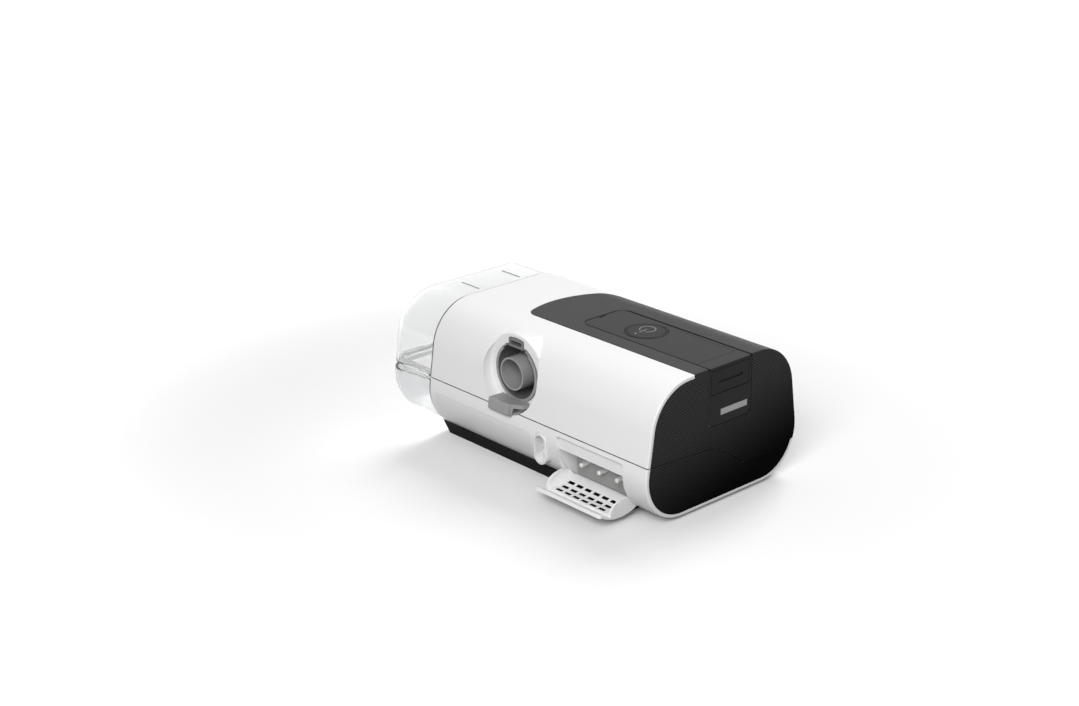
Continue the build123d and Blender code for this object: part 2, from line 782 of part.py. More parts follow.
def base_plinth():
    """Black base under the curved shell, with its end sloped towards the tub."""
    profile = Polyline(
        (plinth_x0, 0), (plinth_x1, 0), (plinth_x1 + plinth_slope, plinth_h), (plinth_x0 - 3, plinth_h),
        close=True
    )
    body = run_y(make_face(profile), -plinth_half, plinth_half)
    body = body - bar(-0.05, end_x, tub_end_x)
    body -= block(bay_x0 - 2, bay_x1 + 2, plinth_half - 1.8, width, 5.6, plinth_h + 1)
    for x, y in screw_places:
        body -= rod_z(x, y, -1, 3, screw_head_r + head_play)
    for x, y in foot_places():
        body -= rod_z(x, y, -1, foot_t, foot_r + line_gap)
    return body


def foot_places():
    centre = (plinth_x0 + plinth_x1) / 2
    span = (plinth_x1 - plinth_x0) / 2 - foot_from_edge
    return [(centre + i * span, j * foot_y) for i in (-1, 1) for j in (-1, 1)]


def rubber_feet():
    return Compound(children=[rod_z(x, y, 0, foot_t, foot_r) for x, y in foot_places()])


def case_screws():
    screws = []
    for x, y in screw_places:
        top = chassis_z
        head = rod_z(x, y, top - screw_l - 2.2, top - screw_l, screw_head_r)
        screws.append(head + rod_z(x, y, top - screw_l, top + chassis_t, screw_r))
    return Compound(children=screws)


# ---------------------------------------------------------------- button and display
def start_button():
    """Round push button: cap in the glass, skirt and flange under the deck, stem over the switch."""
    under_cap = height - button_t
    cap = rod_z(button_x, button_y, under_cap, height, button_r)
    cap = fillet(cap.faces().sort_by(Axis.Z)[-1].edges(), button_edge_r)
    skirt = rod_z(button_x, button_y, skirt_z, under_cap, button_r - 2)
    flange = rod_z(button_x, button_y, skirt_z, skirt_z + button_flange_t, button_r + button_flange)
    hollow = rod_z(button_x, button_y, skirt_z - 1, under_cap, button_r - 2 - button_skirt_t)
    stem = rod_z(button_x, button_y, skirt_z, under_cap, button_stem_r)
    return cap + skirt + flange - hollow + stem


def button_switch():
    """Small push switch under the button's stem."""
    top = skirt_z - button_travel - 0.1
    half = switch_w / 2
    base = block(button_x - half, button_x + half, button_y - half, button_y + half, display_floor(), top - 0.7)
    return base + rod_z(button_x, button_y, top - 0.8, top, switch_cap_r)


def display_floor():
    return deck_z - display_t - line_gap


def display_module():
    gap = moving_gap
    return block(display_x0 + gap, display_x1 - gap, display_y0 + gap, display_y1 - gap,
                 display_floor(), deck_z - line_gap)


def display_bracket():
    """Frame under the display and the switch, standing on the main board."""
    top = display_floor()
    bottom = top - bracket_t
    plate = slab(display_x0 - 4, button_x + button_r + 4, panel_y0, panel_y1, bottom, top, 3)
    plate -= block(display_x0 + bracket_rim, display_x1 - bracket_rim, display_y0 + bracket_rim,
                   display_y1 - bracket_rim, bottom - 1, top + 1)
    for x in (display_x1 - bracket_rim + bracket_leg_r, button_x + button_r):
        for y in (panel_y0 + 4, panel_y1 - 4):
            plate += rod_z(x, y, board_z + board_t, bottom, bracket_leg_r)
    return plate


def main_board():
    board = slab(end_x + wall + 0.5, end_x + board_l, board_front_inset - width / 2,
                 width / 2 - board_back_inset, board_z, board_z + board_t, 4)
    return board & bar(wall + 1.5, end_x, seam_x)


def board_parts():
    """Packages, connectors and the radio can on the main board."""
    top = board_z + board_t
    parts = []
    for from_end, y, long, wide, high in packages:
        x = end_x + from_end
        parts.append(block(x - long / 2, x + long / 2, y - wide / 2, y + wide / 2, top, top + high))
    return Compound(children=parts)


def power_board():
    return slab(power_x0, power_x1, power_board_y0, bay_back_y, power_board_z, power_board_z + board_t, 3)


def power_parts():
    top = power_board_z + board_t
    can_x = power_x0 + 0.76 * power_w
    coil_x = power_x0 + 0.31 * power_w
    parts = [rod_z(can_x, y, top, top + can_h, can_r) for y in can_y]
    coil = rod_z(coil_x, coil_y, top, top + coil_h, coil_r)
    parts.append(coil - rod_z(coil_x, coil_y, 0, height, coil_bore_r))
    parts.append(block(power_x0 + 0.10 * power_w, power_x0 + 0.38 * power_w, *driver_y, top, top + driver_h))
    return Compound(children=parts)


# ---------------------------------------------------------------- chassis and blower
chassis_posts = [
    (end_x + 11.7, 29.25 - width / 2), (end_x + 11.7, width / 2 - 33.25),
    (end_x + board_l - 5, air_in_y - port_r - duct_t - chassis_post_r - 1.6),
    (end_x + board_l - 5, width / 2 - 33.25)
]
board_posts = [
    (power_x0 + 0.28 * power_w, -24), (power_x0 + 0.90 * power_w, -24),
    (power_x0 + 0.55 * power_w, width / 2 - 30.25)
]


def chassis():
    """Inner frame: a deck on the case's bosses, with posts up to the main board and down to the floor."""
    deck = slab(end_x + wall + 1, partition_x() - 8.7, -cup_front_y, bay_back_y - tray_wall - 1.5,
                chassis_z, chassis_z + chassis_t, 6)
    deck = deck & bar(wall + 0.6, end_x, seam_x)
    deck -= rod_z(blower_x, blower_y, chassis_z - 1, chassis_z + 5, 16)
    for x, y in chassis_posts:
        deck += rod_z(x, y, chassis_z, board_z, chassis_post_r)
    for x, y in board_posts:
        deck += rod_z(x, y, power_board_z + board_t, chassis_z, board_post_r)
    for x, y in screw_places:
        deck -= rod_z(x, y, chassis_z - 1, chassis_z + chassis_t + 1, screw_r)
    return deck


def muffler_foam():
    """Sound-absorbing block round the air path under the blower."""
    foam = block(bay_x0 + 1, bay_x1 + 2, blower_y - 25, bay_back_y - tray_wall - moving_gap,
                 floor_z + moving_gap, chassis_z - moving_gap)
    foam = foam & bar(wall + moving_gap, end_x, seam_x)
    channel = block(bay_x0 + 11, bay_x1 - 10, blower_y - 11, width, floor_z + 6, intake_z + 6.5)
    riser = rod_z(blower_x, blower_y, floor_z + 7, height, impeller_eye_r + 3)
    return foam - channel - riser


def scroll(grow):
    """Spiral outline of the fan casing, seen from above."""
    turns = 12
    points = []
    for step in range(turns + 1):
        angle = 2 * math.pi * step / turns
        radius = volute_r + grow + volute_growth * (1 - step / turns)
        points.append((radius * math.cos(angle - math.pi / 2), radius * math.sin(angle - math.pi / 2)))
    curve = Spline(*points)
    return make_face(curve.edges() + Line(points[-1], points[0]).edges())


volute_z0 = chassis_z + chassis_t + mount_ring_h
volute_z1 = volute_z0 + volute_h
fan_z = volute_z0 + volute_h / 2
duct_x0 = blower_x + 36


def volute():
    """Fan casing with a round tangential outlet, hollow, before it is parted."""
    place = Pos(blower_x, blower_y, volute_z0)
    outer = place * extrude(scroll(volute_wall), volute_h)
    inner = place * Pos(0, 0, volute_wall) * extrude(scroll(0), volute_h - 2 * volute_wall)
    stub = rod_x(blower_x, duct_x0, air_in_y, fan_z, port_r + volute_wall)
    boss = rod_z(blower_x, blower_y, volute_z1 - 5.5, volute_z1, bearing_r + 3)
    casing = (outer + stub) - inner
    casing += boss
    casing -= rod_x(blower_x + 4, duct_x0 + 1, air_in_y, fan_z, port_r)
    casing -= rod_z(blower_x, blower_y, volute_z0 - 1, volute_z0 + 3, impeller_eye_r)
    casing -= rod_z(blower_x, blower_y, volute_z1 - 7, volute_z1 + 1, bearing_r)
    return casing


def impeller():
    """Fan wheel: back disc, hub, curved blades and a front ring."""
    disc_z = fan_z + blade_h / 2
    disc = rod_z(blower_x, blower_y, disc_z, disc_z + disc_t, impeller_r)
    hub = rod_z(blower_x, blower_y, fan_z - blade_h / 2, disc_z + 2 * disc_t, shaft_r + 2.6)
    wheel = disc + hub
    start = Vector(impeller_eye_r - 4, 0)
    tip = Vector(impeller_r - line_gap, 0).rotate(Axis.Z, -blade_sweep)
    camber = RadiusArc(start, tip, -blade_curve)
    blade = extrude(trace(camber, blade_t), blade_h + 0.1)
    for step in range(blade_count):
        turn = Rot(0, 0, 360 * step / blade_count)
        wheel += Pos(blower_x, blower_y, fan_z - blade_h / 2) * turn * blade
    ring = rod_z(blower_x, blower_y, fan_z - blade_h / 2 - 1, fan_z - blade_h / 2, impeller_r)
    ring -= rod_z(blower_x, blower_y, 0, height, impeller_eye_r)
    wheel += ring
    return wheel - rod_z(blower_x, blower_y, 0, height, shaft_r)


motor_z0 = volute_z1
motor_z1 = board_z - 2.0
stator_h = motor_z1 - motor_z0 - 4.0


def rotor_shaft():
    return rod_z(blower_x, blower_y, fan_z - blade_h / 2, motor_z1 - 1.6, shaft_r)


def rotor_magnet():
    ring = rod_z(blower_x, blower_y, motor_z0 + 1, motor_z0 + stator_h - 2, rotor_r)
    return ring - rod_z(blower_x, blower_y, 0, height, shaft_r)


def motor_stator():
    """Laminated ring with teeth pointing at the magnet."""
    low = motor_z0
    ring = rod_z(blower_x, blower_y, low, low + stator_h, stator_r)
    ring -= rod_z(blower_x, blower_y, 0, height, stator_r - 3)
    for step in range(stator_teeth):
        tooth = Pos((rotor_r + magnet_gap + stator_r - 2) / 2, 0, low + stator_h / 2)
        tooth = tooth * Box(stator_r - 2 - rotor_r - magnet_gap, tooth_w, stator_h - 1.6)
        ring += Pos(blower_x, blower_y) * Rot(0, 0, 360 * step / stator_teeth) * tooth
    return ring - rod_z(blower_x, blower_y, 0, height, rotor_r + magnet_gap)


def motor_bearings():
    parts = []
    for low in (volute_z1 - bearing_h - 0.6, motor_z1 - 1.6 - bearing_h):
        ring = rod_z(blower_x, blower_y, low, low + bearing_h, bearing_r)
        parts.append(ring - rod_z(blower_x, blower_y, 0, height, shaft_r + running_gap))
    return Compound(children=parts)


def motor_cap():
    cap = rod_z(blower_x, blower_y, motor_z0, motor_z1, stator_r + 1.8)
    cap -= rod_z(blower_x, blower_y, motor_z0 - 1, motor_z1 - 1.4, stator_r)
    seat_z = motor_z1 - 1.6 - bearing_h
    cap += rod_z(blower_x, blower_y, seat_z, motor_z1 - 1.4, bearing_r + 1.6)
    return cap - rod_z(blower_x, blower_y, seat_z - 1, motor_z1 - 1.6, bearing_r)


def blower_mount():
    """Soft ring that carries the fan on the chassis."""
    ring = rod_z(blower_x, blower_y, chassis_z + chassis_t, volute_z0, 22)
    return ring - rod_z(blower_x, blower_y, 0, height, 17)


def blower_duct():
    end = partition_x()
    tube = rod_x(duct_x0 + 0.2, end, air_in_y, fan_z, port_r + duct_t)
    return tube - rod_x(duct_x0 - 1, end + 1, air_in_y, fan_z, port_r)


def flow_sensor():
    x = (duct_x0 + partition_x()) / 2
    base_z = fan_z + port_r + duct_t
    return block(x - 9, x + 9, air_in_y - 6, air_in_y + 6, base_z, base_z + 6)


def outlet_elbow():
    """Bent duct from the tub's air port to the outlet."""
    start_y = outlet_ring_y() - line_gap - 1.8
    path = FilletPolyline((outlet_x, start_y, outlet_z), (outlet_x, air_out_y, outlet_z),
                          (partition_x(), air_out_y, outlet_z), radius=15)
    mouth = Plane(origin=(outlet_x, start_y, outlet_z), z_dir=(0, -1, 0))
    tube = sweep(mouth * Circle(port_r + 2 + duct_t), path=path)
    bore = sweep(mouth * Circle(port_r + 2), path=path)
    return tube - bore


# ---------------------------------------------------------------- tub bay
def partition_x():
    return tub_inner_x - port_seal_w - moving_gap - partition_t


def bay_partition():
    """Wall between the tub bay and the machine, with two air ports."""
    x = partition_x()
    plate = bar(wall + line_gap, x, x + partition_t)
    plate -= rod_x(x - 1, x + 4, air_in_y, fan_z, port_r)
    return plate - rod_x(x - 1, x + 4, air_out_y, outlet_z, port_r + 2)


def port_seals():
    x = partition_x() + partition_t
    seals = []
    for y, z, r in ((air_in_y, fan_z, port_r), (air_out_y, outlet_z, port_r + 2)):
        ring = rod_x(x, x + port_seal_w, y, z, r + port_seal_t)
        seals.append(ring - rod_x(x - 1, x + port_seal_w + 1, y, z, r))
    return Compound(children=seals)


def heater_base():
    """Insulating frame on the case floor under the heater plate."""
    return slab(heater_x0 - 1, heater_x1 + 1, -heater_w / 2 + 2, heater_w / 2 - 2,
                floor_z, tub_floor_z - moving_gap - heater_t, 4)


def heater_plate():
    top = tub_floor_z - moving_gap
    return slab(heater_x0, heater_x1, -heater_w / 2, heater_w / 2, top - heater_t, top, 6)


def tub_form(inset):
    """The tub's closed outer form, or that form drawn inwards."""
    docked = bar(wall + 0.6 + inset, tub_inner_x + inset, seam_x + 2 * moving_gap + tub_wall + inset)
    docked = docked & block(0, length, -width, width, tub_floor_z + inset, height)
    head = bar(tub_inset + inset, seam_x + moving_gap + inset, tub_end_x - inset)
    head = fillet(head.faces().sort_by(Axis.X)[-1].edges(), tub_end_r - inset)
    return docked + head


def under_split(grow=0.0):
    """Space under the tub's parting plane, which drops towards its outer end."""
    profile = Polyline(
        (0, tub_split_z + tub_split_rise + grow), (seam_x, tub_split_z + tub_split_rise + grow),
        (tub_end_x + 1, tub_split_z + grow), (tub_end_x + 1, -1), (0, -1), close=True
    )
    return run_y(make_face(profile), -width, width)


def tub_ports(reach):
    ports = rod_x(tub_inner_x - 1, tub_inner_x + reach, air_in_y, fan_z, port_r)
    return ports + rod_x(tub_inner_x - 1, tub_inner_x + reach, air_out_y, outlet_z, port_r + 2)


def water_tub(form, room):
    """Clear lower half of the tub, with a shelf for the seal and a window for the metal plate."""
    low = (form - room) & under_split()
    shelf = (tub_form(tub_wall / 2) - tub_form(shelf_inset)) & under_split() - under_split(-shelf_t)
    return low + shelf - heat_window(tub_floor_z - 1, tub_floor_z + 2 * tub_wall)


def heat_window(z0, z1):
    half = heater_w / 2 - heater_window
    return slab(heater_x0 + heater_window, heater_x1 - heater_window, -half, half, z0, z1, 6)


def tub_heat_plate():
    return heat_window(tub_floor_z, tub_floor_z + tub_wall)


def tub_lid(form, room):
    """Clear domed upper half of the tub: grips on top, two lugs at the outer end, air ports at the inner."""
    above = block(0, length, -width, width, lid_lip_z, height + 1)
    lid = (form - room) & above
    rim = (tub_form(tub_wall / 2) - tub_form(shelf_inset))
    rim = rim & block(0, length, -width, width, lid_lip_z, lid_lip_z + shelf_t)
    lid = lid + rim
    for side in (-1, 1):
        lid -= slab(grip_x0, grip_x1, side * grip_y - grip_w / 2, side * grip_y + grip_w / 2,
                    height - tub_inset - grip_inset, height, grip_w * 0.45)
        near, far = sorted((side * lug_y0, side * lug_y1))
        lid += (form - room) & block(tub_end_x - lug_l, tub_end_x, near, far, tub_split_z + lug_gap, lid_lip_z)
    return lid - tub_ports(tub_wall + 1)


def tub_seal():
    ring = tub_form(seal_inset) - tub_form(seal_inset + seal_w)
    ring = ring & block(0, length, -width, width, 0, lid_lip_z)
    return ring - under_split(0.0)


def air_spouts():
    """Two clear tubes inside the tub that keep the air above the water."""
    spouts = []
    for y, z, r in ((air_in_y, fan_z, port_r), (air_out_y, outlet_z, port_r + 2)):
        x0 = tub_inner_x + tub_wall
        tube = rod_x(x0, x0 + spout_l, y, z, r + duct_t)
        spouts.append(tube - rod_x(x0 - 1, x0 + spout_l + 1, y, z, r))
    return Compound(children=spouts)


# ---------------------------------------------------------------- assembly
def build():
    case = shell_pair()
    form = tub_form(0)
    room = tub_form(tub_wall)
    fan = volute()
    split = block(-length, length, -width, width, 0, fan_z)
    return {
        "upper_shell": upper_shell(case),
        "lower_case": lower_case(case),
        "top_fascia": top_fascia(),
        "lower_end_panel": lower_end_panel(),
        "touch_panel": touch_panel(),
        "end_plate": end_plate(),
        "card_door": card_door(),
        "memory_card": memory_card(),
        "card_socket": card_socket(),
        "base_plinth": base_plinth(),
        "rubber_feet": rubber_feet(),
        "case_screws": case_screws(),
        "start_button": start_button(),
        "button_switch": button_switch(),
        "display_module": display_module(),
        "display_bracket": display_bracket(),
        "main_board": main_board(),
        "board_parts": board_parts(),
        "power_board": power_board(),
        "power_parts": power_parts(),
        "power_inlet": power_inlet(),
        "inlet_contacts": inlet_contacts(),
        "filter_tray": filter_tray(),
        "air_filter": air_filter(),
        "filter_cover": filter_cover(),
        "outlet_connector": outlet_connector(),
        "outlet_elbow": outlet_elbow(),
        "chassis": chassis(),
        "muffler_foam": muffler_foam(),
        "blower_mount": blower_mount(),
        "volute_lower": fan & split,
        "volute_upper": fan - split,
        "impeller": impeller(),
        "rotor_shaft": rotor_shaft(),
        "rotor_magnet": rotor_magnet(),
        "motor_stator": motor_stator(),
        "motor_bearings": motor_bearings(),
        "motor_cap": motor_cap(),
        "blower_duct": blower_duct(),
        "flow_sensor": flow_sensor(),
        "bay_partition": bay_partition(),
        "port_seals": port_seals(),
        "heater_base": heater_base(),
        "heater_plate": heater_plate(),
        "water_tub": water_tub(form, room),
        "tub_heat_plate": tub_heat_plate(),
        "tub_lid": tub_lid(form, room),
        "tub_seal": tub_seal(),
        "air_spouts": air_spouts(),
    }


for node, shape in build().items():
    export_step(shape, f"parts/{node}.step")
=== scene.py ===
import bmesh
import bpy
import json
import math
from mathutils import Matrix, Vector


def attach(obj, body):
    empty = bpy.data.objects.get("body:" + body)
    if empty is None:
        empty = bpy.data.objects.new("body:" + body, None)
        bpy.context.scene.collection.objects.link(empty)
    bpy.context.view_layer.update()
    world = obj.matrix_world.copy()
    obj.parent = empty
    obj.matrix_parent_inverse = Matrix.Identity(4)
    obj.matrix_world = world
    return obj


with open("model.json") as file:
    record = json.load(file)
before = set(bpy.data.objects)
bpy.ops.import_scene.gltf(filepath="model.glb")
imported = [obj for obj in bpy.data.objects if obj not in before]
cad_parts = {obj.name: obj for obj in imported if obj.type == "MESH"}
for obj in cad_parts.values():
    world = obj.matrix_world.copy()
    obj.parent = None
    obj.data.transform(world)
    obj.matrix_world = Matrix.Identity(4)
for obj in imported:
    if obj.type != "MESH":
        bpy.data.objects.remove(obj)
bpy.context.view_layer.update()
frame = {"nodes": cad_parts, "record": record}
MM = 0.001

# ------------------------------------------------------------------ measures
# Places and widths on the part are in millimetres, in the frame of the solids.

# Camera, in metres; the shifts are shares of the frame's width.
CAMERA_LENS = 61.616
CAMERA_SHIFT = (-0.04773, 0.04356)
CAMERA_TARGET = Vector((-0.011696, 0.003680, 0.035448))
CAMERA_BACK = Vector((-0.6706, 0.6352, 0.3833)).normalized()
CAMERA_REACH = 1.244546

# Start button: ring groove with painted shade in it, standby sign and lamp, placed by X and Y.
BUTTON_PLACE = (-54.7, -5.15)
BUTTON_RING = 12.9
BUTTON_GROOVE = 0.22
SIGN_PLACE = (-53.0, -8.0)
SIGN_RADIUS = 5.3
SIGN_STROKE = 0.42
SIGN_MOUTH = 2.4
SIGN_BAR_START = 0.5
SIGN_BAR_PAST = 2.5
LAMP_PLACE = (-53.1, 3.2)
LAMP_RADIUS = 0.7

# Touch panel: painted shade along its rim, outline of the display and the tick beside it.
PANEL_END = -13.35
PANEL_MIDDLE = -4.5
PANEL_HALF = 19.65
PANEL_SIDE_RIM = 1.0
PANEL_END_RIM = 0.45
DISPLAY_LINE = 0.14
DISPLAY_FAR = -20.6
DISPLAY_NEAR = 15.2
DISPLAY_END = -118.3
DISPLAY_X = (-118.4, -70.0)
TICK_X = (-15.6, -14.4)
TICK_Y = (-7.0, -1.0)

# Fascia on the deck: dots, and the painted shadow line along its straight edge.
DOT_TURN = 3.3
DOT_GAP_SHADE = 0.3
DECK_EDGE = 27.1
DECK_SHEEN = 0.1

# End face: ribs in degrees and millimetres, the painted shade that fades down the face, and the pale bar.
END_FACE = -128.2
END_SHEEN = 0.07
END_FADE_SLANT = 0.31
END_FOOT = (0.002, 0.002, 0.002)
RIB_SLOPE = 34
RIB_PITCH = 1.5
RIB_GROOVE_SHADE = 0.15
BAR_Y = (-20.9, 3.5)
BAR_Z = (60.7, 64.8)

# Painted shadow line in the gap between the shells: its height at Y 0, and its slope over Y, on each side.
GAP_HIGH = (39.33, 0.0613)
GAP_LOW = (6.79, -0.2659)
GAP_REACH = 0.32
GAP_OUTLET_SIDE = 66.5
GAP_FRONT_SIDE = -63.0

# Slots of the filter cover: first place, pitch, count and size, along X and along Y.
SLOTS_X = (-98.3, 7.8, 6, 5.1)
SLOTS_Y = (65.9, 5.2, 3, 2.1)
SLOT_SPARE = 0.12

# Outlet: its axis by X and Z, the rim of the cup, the clear room round the spigot, the flap.
OUTLET_PLACE = (1.0, 66.8)
CUP_RIM = 58.7
CUP_INNER = 12.5
CUP_SHADE = 0.5
FLAP_TOP = 48.7

# Rating film, and the curved skin of the lower case under it.
PLATE_X = (-24.0, 74.0)
PLATE_Z = (11.0, 35.0)
PLATE_CORNER = 3.0
PLATE_BENDS = 24
PLATE_LIFT = 0.12
SKIN_AXIS = (37.25, 34.0)
SKIN_RADIUS = 32.0

# Colours that more than one finish uses.
LINE_BLACK = (0.008, 0.008, 0.008)
CASE_WHITE = (0.80, 0.80, 0.80)
END_BLACK = (0.026, 0.026, 0.027)


# ------------------------------------------------------------------ camera
def make_camera():
    data = bpy.data.cameras.new("studio_camera")
    camera = bpy.data.objects.new("studio_camera", data)
    bpy.context.scene.collection.objects.link(camera)
    data.sensor_width = 36.0
    data.lens = CAMERA_LENS
    data.shift_x, data.shift_y = CAMERA_SHIFT
    data.clip_start = 0.05
    data.clip_end = 60.0
    camera.location = CAMERA_TARGET + CAMERA_BACK * CAMERA_REACH
    camera.rotation_mode = "QUATERNION"
    camera.rotation_quaternion = (-CAMERA_BACK).to_track_quat("-Z", "Y")
    bpy.context.scene.camera = camera


# ------------------------------------------------------------------ node helpers
def node(tree, kind, **values):
    """New node; each value goes to its setting of that name, or else to its input."""
    made = tree.nodes.new(kind)
    for key, value in values.items():
        if hasattr(made, key):
            setattr(made, key, value)
        else:
            made.inputs[key].default_value = value
    return made


def math_node(tree, operation, a, b=None, c=None, clamp=False):
    made = node(tree, "ShaderNodeMath", operation=operation, use_clamp=clamp)
    for socket, value in zip(made.inputs, (a, b, c)):
        if value is None:
            continue
        if isinstance(value, (int, float)):
            socket.default_value = value
        else:
            tree.links.new(value, socket)
    return made.outputs[0]


def mix_colour(tree, factor, a, b, blend="MIX"):
    made = node(tree, "ShaderNodeMix", data_type="RGBA", blend_type=blend)
    for socket, value in ((made.inputs[0], factor), (made.inputs[6], a), (made.inputs[7], b)):
        if isinstance(value, (int, float)):
            socket.default_value = value
        elif isinstance(value, tuple):
            socket.default_value = (*value, 1.0)
        else:
            tree.links.new(value, socket)
    return made.outputs[2]


def deeper(colour, share):
    return tuple(share * part for part in colour)


def object_axes(tree):
    """Place on the piece along X, Y and Z in millimetres, and all three together."""
    coords = tree.nodes.new("ShaderNodeTexCoord")
    scale = node(tree, "ShaderNodeVectorMath", operation="SCALE", Scale=1 / MM)
    tree.links.new(coords.outputs["Object"], scale.inputs[0])
    split = tree.nodes.new("ShaderNodeSeparateXYZ")
    tree.links.new(scale.outputs[0], split.inputs[0])
    return split.outputs[0], split.outputs[1], split.outputs[2], scale.outputs[0]


def smooth_ramp(tree, value, low, high, at_low, at_high):
    """Soft change from one number to another while the value goes from low to high."""
    ramp = node(tree, "ShaderNodeMapRange", interpolation_type="SMOOTHSTEP")
    tree.links.new(value, ramp.inputs["Value"])
    for title, number in (("From Min", low), ("From Max", high), ("To Min", at_low), ("To Max", at_high)):
        ramp.inputs[title].default_value = number
    return ramp.outputs["Result"]


def seen_plainly(tree):
    """1 for camera, glossy and transmission rays, which see the plain white studio; else 0."""
    path = tree.nodes.new("ShaderNodeLightPath")
    seen = either(tree, path.outputs["Is Camera Ray"], path.outputs["Is Transmission Ray"])
    return either(tree, seen, path.outputs["Is Glossy Ray"])


# ------------------------------------------------------------------ masks, 1 inside and 0 outside
def above(tree, value, limit):
    return math_node(tree, "GREATER_THAN", value, limit)


def below(tree, value, limit):
    return math_node(tree, "LESS_THAN", value, limit)


def both(tree, first, second):
    return math_node(tree, "MULTIPLY", first, second)


def either(tree, first, second):
    return math_node(tree, "MAXIMUM", first, second)


def between(tree, value, low, high):
    return both(tree, above(tree, value, low), below(tree, value, high))


def away_from(tree, value, at):
    return math_node(tree, "ABSOLUTE", math_node(tree, "SUBTRACT", value, at))


def near_line(tree, value, at, half_width):
    return below(tree, away_from(tree, value, at), half_width)


def near_slope(tree, y, z, start, slope):
    """The gap along a line that rises or falls with Y."""
    line = math_node(tree, "MULTIPLY_ADD", y, slope, start)
    return near_line(tree, math_node(tree, "SUBTRACT", z, line), 0.0, GAP_REACH)


def reach_from(tree, x, y, at):
    """Distance from a point, in the plane of the two axes given."""
    along = math_node(tree, "SUBTRACT", x, at[0])
    across = math_node(tree, "SUBTRACT", y, at[1])
    squares = math_node(tree, "MULTIPLY_ADD", along, along, math_node(tree, "MULTIPLY", across, across))
    return math_node(tree, "SQRT", squares)


# ------------------------------------------------------------------ shared groups
def new_group(name, inputs, outputs):
    group = bpy.data.node_groups.new(name, "ShaderNodeTree")
    for title, value in inputs:
        socket = group.interface.new_socket(title, in_out="INPUT", socket_type="NodeSocketFloat")
        socket.default_value = value
    for title in outputs:
        group.interface.new_socket(title, in_out="OUTPUT", socket_type="NodeSocketFloat")
    return group, group.nodes.new("NodeGroupInput"), group.nodes.new("NodeGroupOutput")


def grain_group():
    """Fine moulded grain: a spark-eroded surface, coarse and fine together."""
    group, inputs, outputs = new_group("moulded_grain", [("Size", 0.4), ("Unevenness", 0.3)], ["Height"])
    place = object_axes(group)[3]
    scale = math_node(group, "DIVIDE", 1.0, inputs.outputs["Size"])
    fine = node(group, "ShaderNodeTexNoise", Detail=3.0, Roughness=0.6)
    cells = node(group, "ShaderNodeTexVoronoi", feature="SMOOTH_F1")
    for texture in (fine, cells):
        group.links.new(place, texture.inputs["Vector"])
        group.links.new(scale, texture.inputs["Scale"])
    height = math_node(group, "MULTIPLY_ADD", cells.outputs["Distance"], inputs.outputs["Unevenness"],
                       fine.outputs["Fac"])
    group.links.new(height, outputs.inputs["Height"])
    return group


def handling_group():
    """Soft smudges and faint rubbing where a device is handled and wiped."""
    group, inputs, outputs = new_group(
        "handling",
        [("Patch", 30.0), ("Amount", 0.08), ("Roughness", 0.4), ("Tone", 0.03)],
        ["Roughness", "Tone"],
    )
    place = object_axes(group)[3]
    scale = math_node(group, "DIVIDE", 1.0, inputs.outputs["Patch"])
    smudge = node(group, "ShaderNodeTexNoise", Detail=4.0, Roughness=0.62, Distortion=0.6)
    group.links.new(place, smudge.inputs["Vector"])
    group.links.new(scale, smudge.inputs["Scale"])
    centred = math_node(group, "SUBTRACT", smudge.outputs["Fac"], 0.5)
    rough = math_node(group, "MULTIPLY_ADD", centred, inputs.outputs["Amount"], inputs.outputs["Roughness"],
                      clamp=True)
    tone = math_node(group, "MULTIPLY_ADD", centred, inputs.outputs["Tone"], 1.0)
    group.links.new(rough, outputs.inputs["Roughness"])
    group.links.new(tone, outputs.inputs["Tone"])
    return group


def brushed_group():
    """Fine lines left by brushing or grinding along X."""
    group, inputs, outputs = new_group("brushed_lines", [("Pitch", 0.25), ("Roughness", 0.3)],
                                       ["Height", "Roughness"])
    place = object_axes(group)[3]
    stretch = node(group, "ShaderNodeVectorMath", operation="MULTIPLY")
    stretch.inputs[1].default_value = (0.03, 1.0, 1.0)
    group.links.new(place, stretch.inputs[0])
    scale = math_node(group, "DIVIDE", 1.0, inputs.outputs["Pitch"])
    lines = node(group, "ShaderNodeTexNoise", Detail=2.0)
    group.links.new(stretch.outputs[0], lines.inputs["Vector"])
    group.links.new(scale, lines.inputs["Scale"])
    rough = math_node(group, "MULTIPLY_ADD", lines.outputs["Fac"], 0.25, inputs.outputs["Roughness"])
    group.links.new(lines.outputs["Fac"], outputs.inputs["Height"])
    group.links.new(rough, outputs.inputs["Roughness"])
    return group


GRAIN = grain_group()
HANDLING = handling_group()
BRUSHED = brushed_group()


def use_group(tree, group, **values):
    made = tree.nodes.new("ShaderNodeGroup")
    made.node_tree = group
    for key, value in values.items():
        made.inputs[key].default_value = value
    return made


# ------------------------------------------------------------------ plain finishes
def new_material(name):
    material = bpy.data.materials.new(name)
    material.use_nodes = True
    tree = material.node_tree
    return material, tree, tree.nodes["Principled BSDF"]


def shader_of(material):
    tree = material.node_tree
    return tree, tree.nodes["Principled BSDF"]


def bump(tree, height, depth_mm, strength=1.0, under=None):
    made = tree.nodes.new("ShaderNodeBump")
    made.inputs["Distance"].default_value = depth_mm * MM
    made.inputs["Strength"].default_value = strength
    tree.links.new(height, made.inputs["Height"])
    if under is not None:
        tree.links.new(under, made.inputs["Normal"])
    return made.outputs["Normal"]


